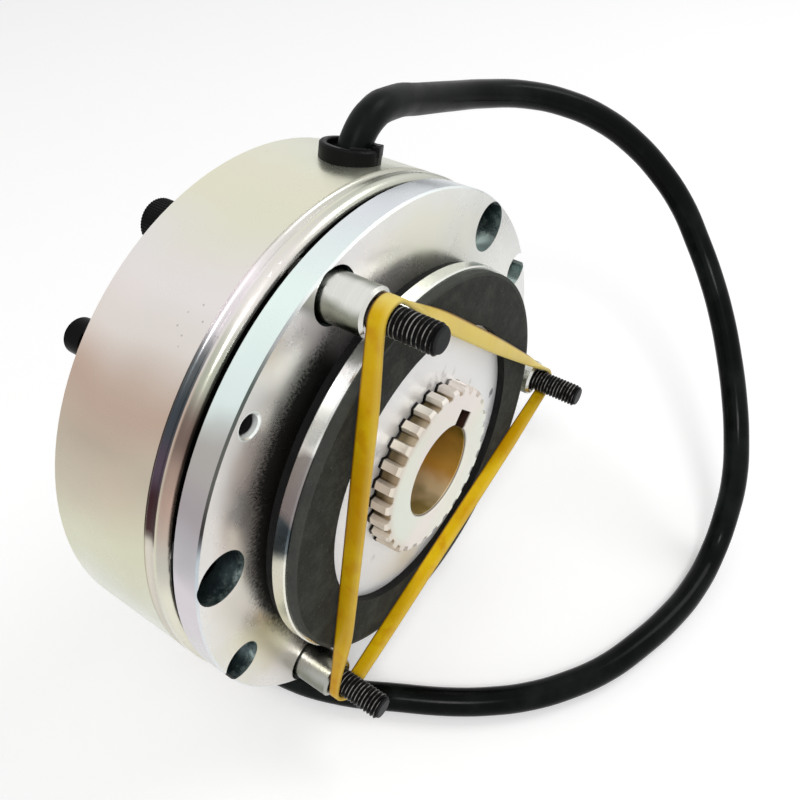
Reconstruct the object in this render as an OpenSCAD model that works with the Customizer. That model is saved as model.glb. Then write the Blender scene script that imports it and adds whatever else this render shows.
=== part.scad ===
// Spring-applied electromagnetic motor brake, lying on its rim with its cable along the same surface.
// The shaft axis runs along Y at the height of the housing's radius, and the front faces -Y.
// Every piece of the brake is drawn along its own axis, with the housing's rear face at z = 0
// and the front towards +z. The module place() then lays the brake down.
// Angles round the axis are seen from the front and count from +X towards the top.

/* [Magnet housing] */
// Outside diameter of the housing
housing_d = 166; // [160:1:180]
// Length of the housing, from its rear face to its pole faces
housing_len = 42; // [38:0.5:50]
// Room round the hub in the hole through the middle of the housing
hub_room = 3.2; // [2:0.1:4]
// Chamfer on the housing's rear edges
housing_chamfer = 1; // [0.5:0.1:2]
// Radius that rounds the housing's front rim
rim_round_r = 2.4; // [1:0.1:3]
// Width of the turned groove behind the front rim
groove_w = 3; // [2:0.1:4]
// Depth of the turned groove
groove_depth = 1; // [0.5:0.1:1.4]
// Width of the rim between the groove and the pole faces
rim_w = 4.2; // [3.6:0.1:6]

/* [Coil] */
// Steel between the coil's slot and the bores for the sleeves
slot_wall = 7.95; // [6:0.05:9]
// Thickness of the housing's floor behind the slot
floor_t = 12; // [9:0.5:14]
// Wall of the bobbin
bobbin_wall = 1.5; // [1:0.1:2]
// Thickness of the resin that closes the slot
potting_t = 2; // [1:0.1:3]
// Clearance of each coil piece in its neighbour
coil_gap = 0.1; // [0.05:0.05:0.2]

/* [Springs] */
// Number of torque springs
spring_count = 6; // [3:1:6]
// Steel between a spring pocket and the housing's bore or the coil's slot
pole_wall = 2.3; // [2:0.05:2.5]
// Outside diameter of a spring
spring_d = 7.6; // [6:0.1:8]
// Diameter of the spring wire
spring_wire_d = 1.3; // [0.8:0.1:1.6]
// Turns of a spring
spring_turns = 6; // [4:1:8]
// Depth of a spring pocket in the pole face
pocket_depth = 20; // [12:0.5:26]
// Clearance of a spring in its pocket, all round
pocket_gap = 0.4; // [0.3:0.05:0.6]

/* [Armature plate] */
// Distance of the plate's rim inside the housing's
plate_inset = 0.5; // [0:0.1:3]
// Thickness of the armature plate
plate_t = 8.5; // [6:0.1:11]
// Distance of the plate's bore outside the housing's
plate_bore_step = 2; // [0.5:0.1:3]
// Air gap between the pole faces and the plate
air_gap = 2; // [1:0.1:3]
// Diameter of the plate's clearance holes round the sleeves
sleeve_hole_d = 15.4; // [14.6:0.1:16]
// Diameter of the plate's plain holes between the sleeves
plain_hole_d = 15.6; // [12:0.1:16]
// Diameter of the two holes that break out through the plate's rim
edge_hole_d = 12; // [10:0.1:13]
// Distance of those two holes' centres inside the plate's rim
edge_hole_inset = 5.5; // [4:0.1:5.5]
// Angle of the first of those two holes from the first sleeve
edge_hole_step = 89; // [84:1:92]
// Angle of the second of those two holes from the first sleeve, the other way
edge_hole_back = 86; // [84:1:92]
// Chamfer on the plate's edges
plate_chamfer = 0.5; // [0.2:0.1:1]

/* [Fasteners] */
// Distance of the mounting screws inside the housing's rim
screw_inset = 8.5; // [8.5:0.1:9.5]
// Angle of the first mounting screw
first_screw_a = 107; // [100:1:116]
// Shank diameter of a mounting screw
screw_d = 8; // [7.8:0.1:8.2]
// Amount by which the thread's outer diameter is less than the shank's
thread_less = 0.1; // [0.05:0.05:0.2]
// Length of a mounting screw under its head
screw_len = 83; // [80:0.5:90]
// Diameter of a mounting screw's head
screw_head_d = 13; // [12:0.1:13.5]
// Height of a mounting screw's head
screw_head_h = 8; // [7:0.1:9]
// Width across the flats of a mounting screw's socket
screw_socket_w = 6; // [5:0.1:7]
// Outside diameter of a spacer sleeve
sleeve_d = 13; // [12.4:0.1:13.8]
// Bore of a spacer sleeve and of the housing behind it
sleeve_bore_d = 9; // [8.6:0.1:9.4]
// Length of sleeve that stands in front of the plate
sleeve_proud = 12.6; // [11.8:0.1:16]
// Length of sleeve that is screwed into the housing
sleeve_seat = 16; // [12:0.5:22]
// Chamfer on a sleeve's front edges
sleeve_chamfer = 0.8; // [0.3:0.1:1]
// Thread diameter of a retaining screw
retainer_d = 6; // [5.6:0.1:6.2]
// Diameter of a retaining screw's head
retainer_head_d = 10; // [9:0.1:10.5]
// Height of a retaining screw's head
retainer_head_h = 6; // [5:0.1:7]
// Width across the flats of a retaining screw's socket
retainer_socket_w = 5; // [4:0.1:5.5]
// Distance of the retaining screws inside the housing's rim
retainer_inset = 6; // [5.8:0.1:6.5]
// Angle of the first retaining screw from the first mounting screw
retainer_step = 28; // [24:1:30]
// Depth of a retaining screw's tip behind the plate's front face
retainer_recess = 1.5; // [0.5:0.1:3]
// Distance that a retaining screw's head stands off the housing
retainer_standoff = 1; // [0.3:0.1:1.5]

/* [Rotor] */
// Room between the rotor's metal core and the sleeves
core_room = 5; // [3:0.1:6]
// Thickness of the core
core_t = 4.4; // [3.5:0.1:5]
// Amount by which a friction lining's rim stands back from the core's
lining_inset = 1; // [0.5:0.1:3]
// Width of a friction lining
lining_w = 16; // [12:0.5:18]
// Thickness of a friction lining
lining_t = 2.6; // [2:0.1:3]

/* [Toothed hub] */
// Number of teeth on the hub
hub_teeth = 27; // [25:1:28]
// Diameter over the hub's teeth
hub_d = 55.6; // [55:0.1:56.4]
// Depth of a tooth
tooth_depth = 2.2; // [1.8:0.1:2.6]
// Length of the hub
hub_len = 30; // [24:0.5:34]
// Length of hub that stands in front of the sleeves' ends
hub_proud = 4.1; // [2:0.1:6]
// Bore of the hub
bore_d = 30; // [28:0.1:31]
// Chamfer on the hub's edges
hub_chamfer = 0.8; // [0.3:0.1:1.2]
// Width of the keyway
key_w = 8; // [6:0.1:9]
// Depth of the keyway in the wall of the bore
key_depth = 5.4; // [3:0.1:6]
// Angle of the keyway
key_a = 45; // [40:1:50]
// Clearance between the hub's teeth and the core's teeth
tooth_gap = 0.15; // [0.1:0.05:0.3]

/* [Cable gland] */
// Angle of the gland round the housing
gland_a = 74.5; // [70:0.5:80]
// Distance of the gland from the housing's rear face
gland_s = 23; // [21:0.5:25]
// Diameter of the gland's collar
collar_d = 17.6; // [15:0.1:19]
// Thickness of the gland's collar above the housing
collar_h = 4; // [3:0.1:5]
// Diameter of the gland's stem in the housing wall
stem_d = 13; // [12:0.1:14]

/* [Elastic band] */
// Width of the elastic band between the screws
band_w = 5.3; // [4:0.1:8]
// Width of the band where it is drawn in round a screw
band_loop_w = 4; // [3:0.1:6]
// Distance of the band in front of the sleeves' ends, where it goes round a screw
band_gap = 2.1; // [2.1:0.1:3]
// Distance of the band in front of the lining between the screws
band_run_gap = 0.5; // [0.3:0.1:2]
// Twist of the band between the first two screws
band_twist = 80; // [0:5:85]
// Thickness of the elastic band
band_t = 1; // [0.8:0.1:1.5]

/* [Hidden] */
$fn = 96;

// Stations along the axis, in front of the housing's rear face
plate_back = housing_len + air_gap;
plate_front = plate_back + plate_t;
mount_plane = plate_front + sleeve_proud;
lining_front = mount_plane;
core_front = lining_front - lining_t;
core_back = core_front - core_t;
hub_front = mount_plane + hub_proud;
thread_back = mount_plane + band_gap + band_loop_w + 0.3;

// The brake lies on its rim, with the middle of its length over the origin
axis_h = housing_d / 2;
rear_y = (screw_len + screw_head_h) / 2 - screw_head_h;

// Radii, from the hub outwards and from the housing's rim inwards
housing_r = housing_d / 2;
housing_bore_d = hub_d + 2 * hub_room;
plate_bore_d = housing_bore_d + 2 * plate_bore_step;
pocket_r = spring_d / 2 + pocket_gap;
spring_circle_r = housing_bore_d / 2 + pole_wall + pocket_r;
slot_inner_d = 2 * (spring_circle_r + pocket_r + pole_wall);
plate_r = housing_r - plate_inset;
edge_hole_r = plate_r - edge_hole_inset;
screw_circle_r = housing_r - screw_inset;
retainer_r = housing_r - retainer_inset;
sleeve_seat_r = sleeve_d / 2 + 0.05;
slot_outer_d = 2 * (screw_circle_r - sleeve_seat_r - slot_wall);
core_d = 2 * (screw_circle_r - sleeve_d / 2 - core_room);
lining_d = core_d - 2 * lining_inset;
lining_bore_d = lining_d - 2 * lining_w;
key_floor = bore_d / 2 + key_depth;

// Angles
third = 120;
screw_angles = [first_screw_a, first_screw_a - third, first_screw_a + third];
retainer_angles = [first_screw_a + retainer_step, first_screw_a + retainer_step + 180];
fit_gap = 0.05;
thread_gap = 0.3;
cut = 1;

// The cable's route: it leaves the collar, comes down in front of the brake, runs under the
// belly of the housing and turns behind it into the coil
cable_d = 9.5;
cable_route = [
  [16.6, 14.5, 142.7], [19.6, 14.5, 154], [22, 14.5, 161], [25.8, 14.6, 166.8], [33, 15, 171],
  [46, 16.8, 170], [63.5, 19.5, 164.5], [82.5, 20, 159], [100.5, 17.5, 154.5], [118, 11, 150],
  [132, 1.5, 144.5], [143.5, -9.5, 137],
  [152, -20.5, 127.5], [157, -32, 116.5], [158, -43.5, 105], [155, -54, 93.5], [149.5, -64.5, 82.5],
  [141, -74.5, 72.5], [131, -83.5, 63], [120.5, -91.5, 54], [110.5, -98.5, 44], [102, -104, 32],
  [94.5, -107, 18], [82, -108.5, 7.5], [64, -108, 4.8], [46, -105, 4.8], [29, -100, 4.8],
  [14, -94, 4.8], [1, -86, 4.8], [-10, -77, 4.8], [-19, -67, 4.8], [-27.5, -55, 4.8],
  [-36, -40, 4.8], [-45, -23, 4.8], [-51, -4, 4.8], [-52, 16, 4.8], [-47, 35, 4.8],
  [-37, 52, 4.8], [-22, 67, 4.8], [-3, 81, 4.8], [17, 96, 5.2], [38, 112, 5.8]
];

// The coil lies flat behind the brake
coil_x = 92;
coil_y = 80;
coil_inner_r = 44.5;
coil_turns = 2;
coil_lift = 1.3;
coil_h = cable_d;
coil_outer_r = coil_inner_r + coil_turns * cable_d;

// The tie holds the coil's turns together
tie_a = 20;
tie_w = 4.8;
tie_t = 1.1;

// The two cores come out of the sheath at its end in the coil and sink to the surface.
// Their run is given as angle back from that end, radius round the coil's centre and height.
core_wire_d = 2.8;
core_room_between = 0.2;
sheath_end_a = 235;
core_wire_route = [
  [-4, 49.2, 6.05], [0, 49.2, 6.05], [7, 48.6, 5.4], [15, 46.6, 3.2], [25, 43.4, 1.6], [37, 40, 1.45],
  [50, 37.8, 1.45], [64, 36.8, 1.45], [78, 36.6, 1.45]
];
ferrule_d = 2;
ferrule_len = 10;

function turn(p, a) = [p[0] * cos(a) - p[1] * sin(a), p[0] * sin(a) + p[1] * cos(a)];

// Points of a toothed outline, with each tooth's flanks sloping from its root to its tip
function teeth(n, root_r, tip_r, root_half, tip_half) = [
  for (i = [0 : n - 1])
    let (a = 360 * i / n)
    for (p = [
      [root_r, -180 / n], [root_r, -root_half], [tip_r, -tip_half],
      [tip_r, 0], [tip_r, tip_half], [root_r, root_half]
    ]) turn([p[0], 0], a + p[1])
];

// Smooth curve through points
function spline(p, i, t) =
  let (
    n = len(p),
    a = p[max(i - 1, 0)],
    b = p[i],
    c = p[min(i + 1, n - 1)],
    d = p[min(i + 2, n - 1)]
  )
  0.5 * (2 * b + (c - a) * t + (2 * a - 5 * b + 4 * c - d) * t * t + (3 * b - a - 3 * c + d) * t * t * t);

function unit(v) = v / norm(v);

// Rings of a tube along a path. Each ring's first point is turned as little as possible.
function ring_frames(path, up0) = [
  for (
    i = 0,
    t = unit(path[1] - path[0]),
    u = unit(up0 - (up0 * t) * t);
    i < len(path);
    i = i + 1,
    t = i < len(path) ? unit(path[min(i + 1, len(path) - 1)] - path[max(i - 1, 0)]) : t,
    u = unit(u - (u * t) * t)
  ) [t, u]
];

module tube(path, r, sides, up0) {
  n = len(path);
  frames = ring_frames(path, up0);
  points = [
    for (i = [0 : n - 1])
      for (k = [0 : sides - 1])
        let (t = frames[i][0], u = frames[i][1], v = cross(t, u), a = 360 * k / sides)
        path[i] + r * (cos(a) * u + sin(a) * v)
  ];
  faces = concat(
    [[for (k = [0 : sides - 1]) k]],
    [
      for (i = [0 : n - 2])
        for (k = [0 : sides - 1])
          for (half = [0, 1])
            let (
              a = i * sides + k,
              b = i * sides + (k + 1) % sides,
              c = a + sides,
              d = b + sides
            )
            half == 0 ? [a, c, b] : [b, c, d]
    ],
    [[for (k = [sides - 1 : -1 : 0]) (n - 1) * sides + k]]
  );
  polyhedron(points = points, faces = faces, convexity = 8);
}

// Lays the brake down on its rim
module place() {
  translate([0, rear_y, axis_h]) rotate([90, 0, 0]) children();
}

// Puts a piece on a circle round the axis
module on_circle(r, a) {
  rotate([0, 0, a]) translate([r, 0, 0]) children();
}

module disc(d, from, to) {
  translate([0, 0, from]) cylinder(d = d, h = to - from);
}

module ring(outer_d, inner_d, from, to) {
  difference() {
    disc(outer_d, from, to);
    disc(inner_d, from - cut, to + cut);
  }
}

// Section of the housing's body, as half a profile from the axis outwards
module housing_profile() {
  groove_front = housing_len - rim_w;
  groove_back = groove_front - groove_w;
  difference() {
    union() {
      polygon([
        [0, 0], [housing_r - housing_chamfer, 0], [housing_r, housing_chamfer],
        [housing_r, housing_len - rim_round_r], [housing_r - rim_round_r, housing_len], [0, housing_len]
      ]);
      translate([housing_r - rim_round_r, housing_len - rim_round_r]) circle(r = rim_round_r);
    }
    translate([housing_r, (groove_back + groove_front) / 2])
      scale([groove_depth / (groove_w / 2), 1]) circle(r = groove_w / 2);
  }
}

// The gland's axis runs outwards from the shaft axis
module gland_place() {
  rotate([0, 0, gland_a]) translate([0, 0, gland_s]) rotate([0, 90, 0]) children();
}

module housing() {
  color("gainsboro") place() difference() {
    rotate_extrude() housing_profile();
    disc(housing_bore_d, -cut, housing_len + cut);
    ring(slot_outer_d, slot_inner_d, floor_t, housing_len + cut);
    for (i = [0 : spring_count - 1])
      on_circle(spring_circle_r, 360 * i / spring_count)
        disc(2 * pocket_r, housing_len - pocket_depth, housing_len + cut);
    for (a = screw_angles) on_circle(screw_circle_r, a) {
      disc(sleeve_bore_d, -cut, housing_len + cut);
      disc(2 * sleeve_seat_r, housing_len - sleeve_seat, housing_len + cut);
    }
    for (a = retainer_angles) on_circle(retainer_r, a)
      disc(retainer_d + 2 * thread_gap, -cut, housing_len + cut);
    gland_place() cylinder(d = stem_d + 2 * fit_gap, h = housing_r + cut);
  }
}

module coil_bobbin() {
  inner = slot_inner_d + 2 * coil_gap;
  outer = slot_outer_d - 2 * coil_gap;
  back = floor_t;
  front = housing_len - potting_t;
  color("ivory") place() difference() {
    ring(outer, inner, back, front);
    ring(outer + 2 * cut, inner + 2 * bobbin_wall, back + bobbin_wall, front - bobbin_wall);
  }
}

module coil_winding() {
  wall = bobbin_wall + coil_gap;
  color("peru") place() ring(
    slot_outer_d - 2 * wall,
    slot_inner_d + 2 * (wall + coil_gap),
    floor_t + wall,
    housing_len - potting_t - wall
  );
}

module coil_potting() {
  color("darkslategray") place() ring(
    slot_outer_d - 2 * coil_gap,
    slot_inner_d + 2 * coil_gap,
    housing_len - potting_t,
    housing_len - coil_gap
  );
}

// A closed-ended compression spring from the pocket's floor to the back of the plate
module torque_spring(i) {
  bottom = housing_len - pocket_depth;
  top = plate_back;
  steps = 12;
  count = spring_turns * steps;
  mean_r = (spring_d - spring_wire_d) / 2;
  travel = top - bottom - spring_wire_d - 2 * fit_gap;
  path = [
    for (k = [0 : count])
      let (
        t = k / count,
        rise = travel * (3 * t * t - 2 * t * t * t),
        a = 360 * spring_turns * t
      )
      [mean_r * cos(a), mean_r * sin(a), bottom + spring_wire_d / 2 + fit_gap + rise]
  ];
  color("silver") place() on_circle(spring_circle_r, 360 * (i - 1) / spring_count)
    tube(path, spring_wire_d / 2, 6, [0, 0, 1]);
}

module armature_plate() {
  color("lightsteelblue") place() difference() {
    rotate_extrude() polygon([
      [plate_bore_d / 2, plate_back], [plate_r - plate_chamfer, plate_back],
      [plate_r, plate_back + plate_chamfer], [plate_r, plate_front - plate_chamfer],
      [plate_r - plate_chamfer, plate_front], [plate_bore_d / 2, plate_front]
    ]);
    for (a = screw_angles) {
      on_circle(screw_circle_r, a) disc(sleeve_hole_d, plate_back - cut, plate_front + cut);
      on_circle(screw_circle_r, a + third / 2) disc(plain_hole_d, plate_back - cut, plate_front + cut);
    }
    for (a = [first_screw_a + edge_hole_step, first_screw_a - edge_hole_back])
      on_circle(edge_hole_r, a) disc(edge_hole_d, plate_back - cut, plate_front + cut);
    for (a = retainer_angles) on_circle(retainer_r, a) {
      disc(retainer_d + 2 * fit_gap, plate_back - cut, plate_front + cut);
      translate([0, 0, plate_front - plate_chamfer])
        cylinder(d1 = retainer_d, d2 = retainer_d + 4 * plate_chamfer, h = 2 * plate_chamfer);
    }
  }
}

module hex_socket(w, depth) {
  translate([0, 0, -cut]) cylinder(d = w / cos(30), h = depth + cut, $fn = 6);
}

// A socket head cap screw, with its head's underside at z = 0 and its thread towards +z.
// A plain cylinder at the thread's outer diameter stands for the turns that show.
module cap_screw(d, len, head_d, head_h, socket_w, thread_from) {
  tip = d / 10;
  edge = head_h / 10;
  thread_r = (d - thread_less) / 2;
  difference() {
    rotate_extrude() polygon([
      [0, len], [thread_r - tip, len], [thread_r, len - tip], [thread_r, thread_from],
      [d / 2, thread_from], [d / 2, 0], [head_d / 2, 0], [head_d / 2, -head_h + edge],
      [head_d / 2 - edge, -head_h], [0, -head_h]
    ]);
    translate([0, 0, -head_h]) hex_socket(socket_w, head_h / 2);
  }
}

module retaining_screw(i) {
  color("dimgray") place() on_circle(retainer_r, retainer_angles[i])
    translate([0, 0, -retainer_standoff]) cap_screw(
      retainer_d,
      plate_front - retainer_recess + retainer_standoff,
      retainer_head_d,
      retainer_head_h,
      retainer_socket_w,
      housing_len / 2
    );
}

// A turned spacer, screwed into the housing, whose front end meets the motor's end shield
module sleeve(i) {
  color("lightgray") place() on_circle(screw_circle_r, screw_angles[i]) rotate_extrude() polygon([
    [sleeve_bore_d / 2, housing_len - sleeve_seat],
    [sleeve_d / 2, housing_len - sleeve_seat],
    [sleeve_d / 2, mount_plane - sleeve_chamfer],
    [sleeve_d / 2 - sleeve_chamfer, mount_plane],
    [sleeve_bore_d / 2 + sleeve_chamfer / 2, mount_plane],
    [sleeve_bore_d / 2, mount_plane - sleeve_chamfer / 2]
  ]);
}

module mounting_screw(i) {
  color("#222222") place() on_circle(screw_circle_r, screw_angles[i])
    cap_screw(screw_d, screw_len, screw_head_d, screw_head_h, screw_socket_w, thread_back);
}

tooth_root_half = 0.315 * 360 / hub_teeth;
tooth_tip_half = 0.195 * 360 / hub_teeth;

// Tooth outline of the hub, grown by a clearance for the hole in the core
module tooth_outline(gap) {
  tip_r = hub_d / 2;
  root_r = tip_r - tooth_depth;
  gap_a = gap / tip_r * 180 / PI;
  polygon(teeth(hub_teeth, root_r + gap, tip_r + gap, tooth_root_half + gap_a, tooth_tip_half + gap_a));
}

module rotor_core() {
  edge = 0.4;
  color("whitesmoke") place() difference() {
    rotate_extrude() polygon([
      [0, core_back], [core_d / 2 - edge, core_back], [core_d / 2, core_back + edge],
      [core_d / 2, core_front - edge], [core_d / 2 - edge, core_front], [0, core_front]
    ]);
    translate([0, 0, core_back - cut]) linear_extrude(core_t + 2 * cut) rotate(key_a) tooth_outline(tooth_gap);
  }
}

module rear_lining() {
  color("darkslategray") place() ring(lining_d, lining_bore_d, core_back - lining_t, core_back);
}

module front_lining() {
  color("darkslategray") place() ring(lining_d, lining_bore_d, core_front, lining_front);
}

module hub() {
  back = hub_front - hub_len;
  bore_r = bore_d / 2;
  color("beige") place() rotate([0, 0, key_a]) difference() {
    intersection() {
      translate([0, 0, back]) linear_extrude(hub_len) tooth_outline(0);
      rotate_extrude() polygon([
        [0, back], [hub_d / 2 - hub_chamfer, back], [hub_d / 2, back + hub_chamfer],
        [hub_d / 2, hub_front - hub_chamfer], [hub_d / 2 - hub_chamfer, hub_front], [0, hub_front]
      ]);
    }
    disc(bore_d, back - cut, hub_front + cut);
    translate([0, 0, hub_front - hub_chamfer])
      cylinder(r1 = bore_r, r2 = bore_r + 2 * hub_chamfer, h = 2 * hub_chamfer);
    translate([0, -key_w / 2, back - cut]) cube([key_floor, key_w, hub_len + 2 * cut]);
  }
}

// A moulded collar on a stem that is snapped into the housing's wall
module cable_gland() {
  flange = housing_r * (1 - cos(asin(collar_d / housing_d)));
  color("#151515") place() difference() {
    gland_place() union() {
      translate([0, 0, slot_outer_d / 2 + cut]) cylinder(d = stem_d, h = housing_r - slot_outer_d / 2);
      translate([0, 0, housing_r - flange]) cylinder(d = collar_d, h = collar_h + flange);
    }
    difference() {
      disc(housing_d + 2 * fit_gap, 0, housing_len);
      gland_place() cylinder(d = stem_d, h = housing_r + cut);
    }
    gland_place() cylinder(d = cable_d, h = housing_r + collar_h + cut);
  }
}

module cable() {
  n = len(cable_route);
  path = concat(
    [for (i = [0 : n - 2]) for (k = [0, 0.5]) if (k == 0 || i < n - 6) spline(cable_route, i, k)],
    [cable_route[n - 1]]
  );
  color("#151515") tube(path, cable_d / 2, 10, [0, 1, 0]);
}

module cable_coil() {
  color("#151515") translate([coil_x, coil_y, coil_lift]) difference() {
    cylinder(r = coil_outer_r, h = coil_h);
    translate([0, 0, -cut]) cylinder(r = coil_inner_r, h = coil_h + 2 * cut);
  }
}

// A flat nylon loop round both turns of the coil
module cable_tie() {
  width = coil_turns * cable_d + 2 * tie_t + 2 * fit_gap;
  height = coil_h + 2 * tie_t + 2 * fit_gap;
  color("#202020") translate([coil_x, coil_y, coil_lift + coil_h / 2]) rotate([0, 0, tie_a])
    translate([(coil_inner_r + coil_outer_r) / 2, 0, 0]) difference() {
      cube([width, tie_w, height], center = true);
      cube([width - 2 * tie_t, tie_w + 2 * cut, height - 2 * tie_t], center = true);
    }
}

// Place of a core in the coil, at an angle back from the sheath's end
function core_at(a, r, z) = [
  coil_x + r * cos(sheath_end_a - a), coil_y + r * sin(sheath_end_a - a), z
];

function core_side(i) = (i == 1 ? -1 : 1) * (core_wire_d / 2 + core_room_between);

module core_wire(i) {
  points = [for (p = core_wire_route) core_at(p[0], p[1] + core_side(i), p[2])];
  n = len(points);
  path = concat([for (j = [0 : n - 2]) for (k = [0, 0.5]) spline(points, j, k)], [points[n - 1]]);
  color(i == 1 ? "sienna" : "royalblue") tube(path, core_wire_d / 2, 12, [0, 0, 1]);
}

// A crimped pin at the end of each core
module ferrule(i) {
  last = core_wire_route[len(core_wire_route) - 1];
  color("silver") translate(core_at(last[0] + 0.1, last[1] + core_side(i), last[2]))
    rotate([0, 0, sheath_end_a - last[0]]) rotate([90, 0, 0]) cylinder(d = ferrule_d, h = ferrule_len, $fn = 24);
}

// Soft step from 0 to 1
function soft(t) = let (u = max(0, min(1, t))) u * u * (3 - 2 * u);

// The elastic band's line round the screws: the place it passes on X and Y, its direction
// outwards, how far it has spread between two screws, from 0 to 1, and its twist
band_turns = 5;
band_shares = [0.055, 0.09, 0.14, 0.2, 0.27, 0.34, 0.42, 0.6, 0.78, 0.84, 0.89, 0.945];
function band_line() = [
  for (k = [0 : 2])
    let (
      a = first_screw_a - third * k,
      here = screw_circle_r * [cos(a), sin(a)],
      next = screw_circle_r * [cos(a - third), sin(a - third)]
    )
    for (p = concat(
      [for (j = [band_turns : -1 : -band_turns]) [here, a + 60 * j / band_turns, 0, 0]],
      [
        for (t = band_shares)
          let (twist = k == 0 ? band_twist * min(soft((t - 0.03) / 0.42), soft((0.97 - t) / 0.17)) : 0)
          [here + (next - here) * t, a - 60, soft((min(t, 1 - t) - 0.055) / 0.12), twist]
      ]
    )) p
];

// One endless flat band, stretched round the three screws. It is drawn in where it passes them,
// and turns its flat side to the front between the first two.
module elastic_band() {
  inner = screw_d / 2 + fit_gap;
  line = band_line();
  n = len(line);
  points = [
    for (p = line)
      let (
        out = [cos(p[1]), sin(p[1])],
        half_w = (band_loop_w + (band_w - band_loop_w) * p[2]) / 2,
        middle = mount_plane + band_gap + (band_run_gap - band_gap) * p[2] + half_w
      )
      for (q = [[-1, -1], [1, -1], [1, 1], [-1, 1]])
        let (
          up = q[0] * band_t / 2,
          along = q[1] * half_w,
          reach = inner + band_t / 2 + up * cos(p[3]) - along * sin(p[3])
        )
        [p[0][0] + reach * out[0], p[0][1] + reach * out[1], middle + along * cos(p[3]) + up * sin(p[3])]
  ];
  faces = [
    for (i = [0 : n - 1])
      for (k = [0 : 3])
        let (a = 4 * i + k, b = 4 * i + (k + 1) % 4, c = 4 * ((i + 1) % n) + k, d = 4 * ((i + 1) % n) + (k + 1) % 4)
        for (f = [[a, c, b], [b, c, d]]) f
  ];
  color("goldenrod") place() polyhedron(points = points, faces = faces, convexity = 6);
}

housing();
coil_bobbin();
coil_winding();
coil_potting();
torque_spring(1);  // torque_spring_1
torque_spring(2);  // torque_spring_2
torque_spring(3);  // torque_spring_3
torque_spring(4);  // torque_spring_4
torque_spring(5);  // torque_spring_5
torque_spring(6);  // torque_spring_6
armature_plate();
retaining_screw(0);  // retaining_screw_a
retaining_screw(1);  // retaining_screw_b
sleeve(0);  // sleeve_a
sleeve(1);  // sleeve_b
sleeve(2);  // sleeve_c
mounting_screw(0);  // mounting_screw_a
mounting_screw(1);  // mounting_screw_b
mounting_screw(2);  // mounting_screw_c
rotor_core();
rear_lining();
front_lining();
hub();
cable_gland();
cable();
cable_coil();
cable_tie();
core_wire(1);  // core_wire_1
core_wire(2);  // core_wire_2
ferrule(1);  // ferrule_1
ferrule(2);  // ferrule_2
elastic_band();
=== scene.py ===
# Looks of a spring-applied electromagnetic motor brake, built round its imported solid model.
# Lengths are in metres in the model's own frame. The shaft axis runs along Y, 83 mm above
# the surface that the brake lies on, and the brake's front faces -Y.

import math

import bmesh
import bpy
from mathutils import Matrix, Vector


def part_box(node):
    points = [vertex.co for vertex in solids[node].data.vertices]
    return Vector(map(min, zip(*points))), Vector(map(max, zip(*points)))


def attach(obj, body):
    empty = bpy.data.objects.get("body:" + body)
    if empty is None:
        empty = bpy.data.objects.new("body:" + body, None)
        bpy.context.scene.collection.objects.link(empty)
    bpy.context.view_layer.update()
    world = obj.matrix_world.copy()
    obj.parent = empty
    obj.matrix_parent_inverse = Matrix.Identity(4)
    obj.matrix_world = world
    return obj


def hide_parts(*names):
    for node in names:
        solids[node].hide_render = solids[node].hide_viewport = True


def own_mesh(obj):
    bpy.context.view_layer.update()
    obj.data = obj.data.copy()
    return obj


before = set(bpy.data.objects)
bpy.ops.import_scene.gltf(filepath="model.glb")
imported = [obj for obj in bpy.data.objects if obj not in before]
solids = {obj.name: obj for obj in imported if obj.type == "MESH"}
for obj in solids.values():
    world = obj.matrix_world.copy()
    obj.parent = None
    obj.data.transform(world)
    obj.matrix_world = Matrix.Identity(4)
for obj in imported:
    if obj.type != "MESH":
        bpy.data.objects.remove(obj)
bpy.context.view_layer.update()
scene = bpy.context.scene

# ----------------------------------------------------------
# Camera
# It looks down on the brake's front from the left, as the photograph does, from 0.32 m.
# ----------------------------------------------------------
def add_object(name, data):
    made = bpy.data.objects.new(name, data)
    scene.collection.objects.link(made)
    return made


lens = bpy.data.cameras.new("camera")
lens.sensor_width = 36.0
lens.lens = 35.148
lens.shift_x = -0.0249
lens.shift_y = 0.0208
lens.clip_start = 0.01
camera = add_object("camera", lens)
camera.location = (-0.13606, -0.11764, 0.26181)
camera.rotation_euler = (math.radians(45.978), 0.0, math.radians(-55.546))
scene.camera = camera

# ----------------------------------------------------------
# Supply cable
# A round black sheath over two cores, 9.5 mm thick. It leaves the collar, swings out in
# front of the brake, comes down and passes under the housing's belly, which rests on it,
# and its spare length lies wound in a coil behind the brake.
# ----------------------------------------------------------

# Rises from 0 to 1 with soft ends
def ease(share):
    share = min(max(share, 0.0), 1.0)
    return share * share * (3 - 2 * share)


cable_d = 0.0095
cable_run = [
    (16.6, 14.5, 142.7), (19.6, 14.5, 154), (22, 14.5, 161), (25.8, 14.6, 166.8),
    (33, 15, 171), (46, 16.8, 170), (63.5, 19.5, 164.5), (82.5, 20, 159),
    (100.5, 17.5, 154.5), (118, 11, 150), (132, 1.5, 144.5), (143.5, -9.5, 137),
    (152, -20.5, 127.5), (157, -32, 116.5), (158, -43.5, 105), (155, -54, 93.5),
    (149.5, -64.5, 82.5), (141, -74.5, 72.5), (131, -83.5, 63), (120.5, -91.5, 54),
    (110.5, -98.5, 44), (102, -104, 32), (94.5, -107, 18), (82, -108.5, 7.5),
    (64, -108, 4.8), (46, -105, 4.8), (29, -100, 4.8), (14, -94, 4.8),
    (1, -86, 4.8), (-10, -77, 4.8), (-19, -67, 4.8), (-27.5, -55, 4.8),
    (-36, -40, 4.8), (-45, -23, 4.8), (-51, -4, 4.8), (-52, 16, 4.8),
    (-47, 35, 4.8), (-37, 52, 4.8), (-22, 67, 4.8), (-3, 81, 4.8),
    (17, 96, 5.2), (38, 112, 5.8),
]
coil_middle = Vector((0.092, 0.080, 0.00605))
outer_turn_r = 0.05875
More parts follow.
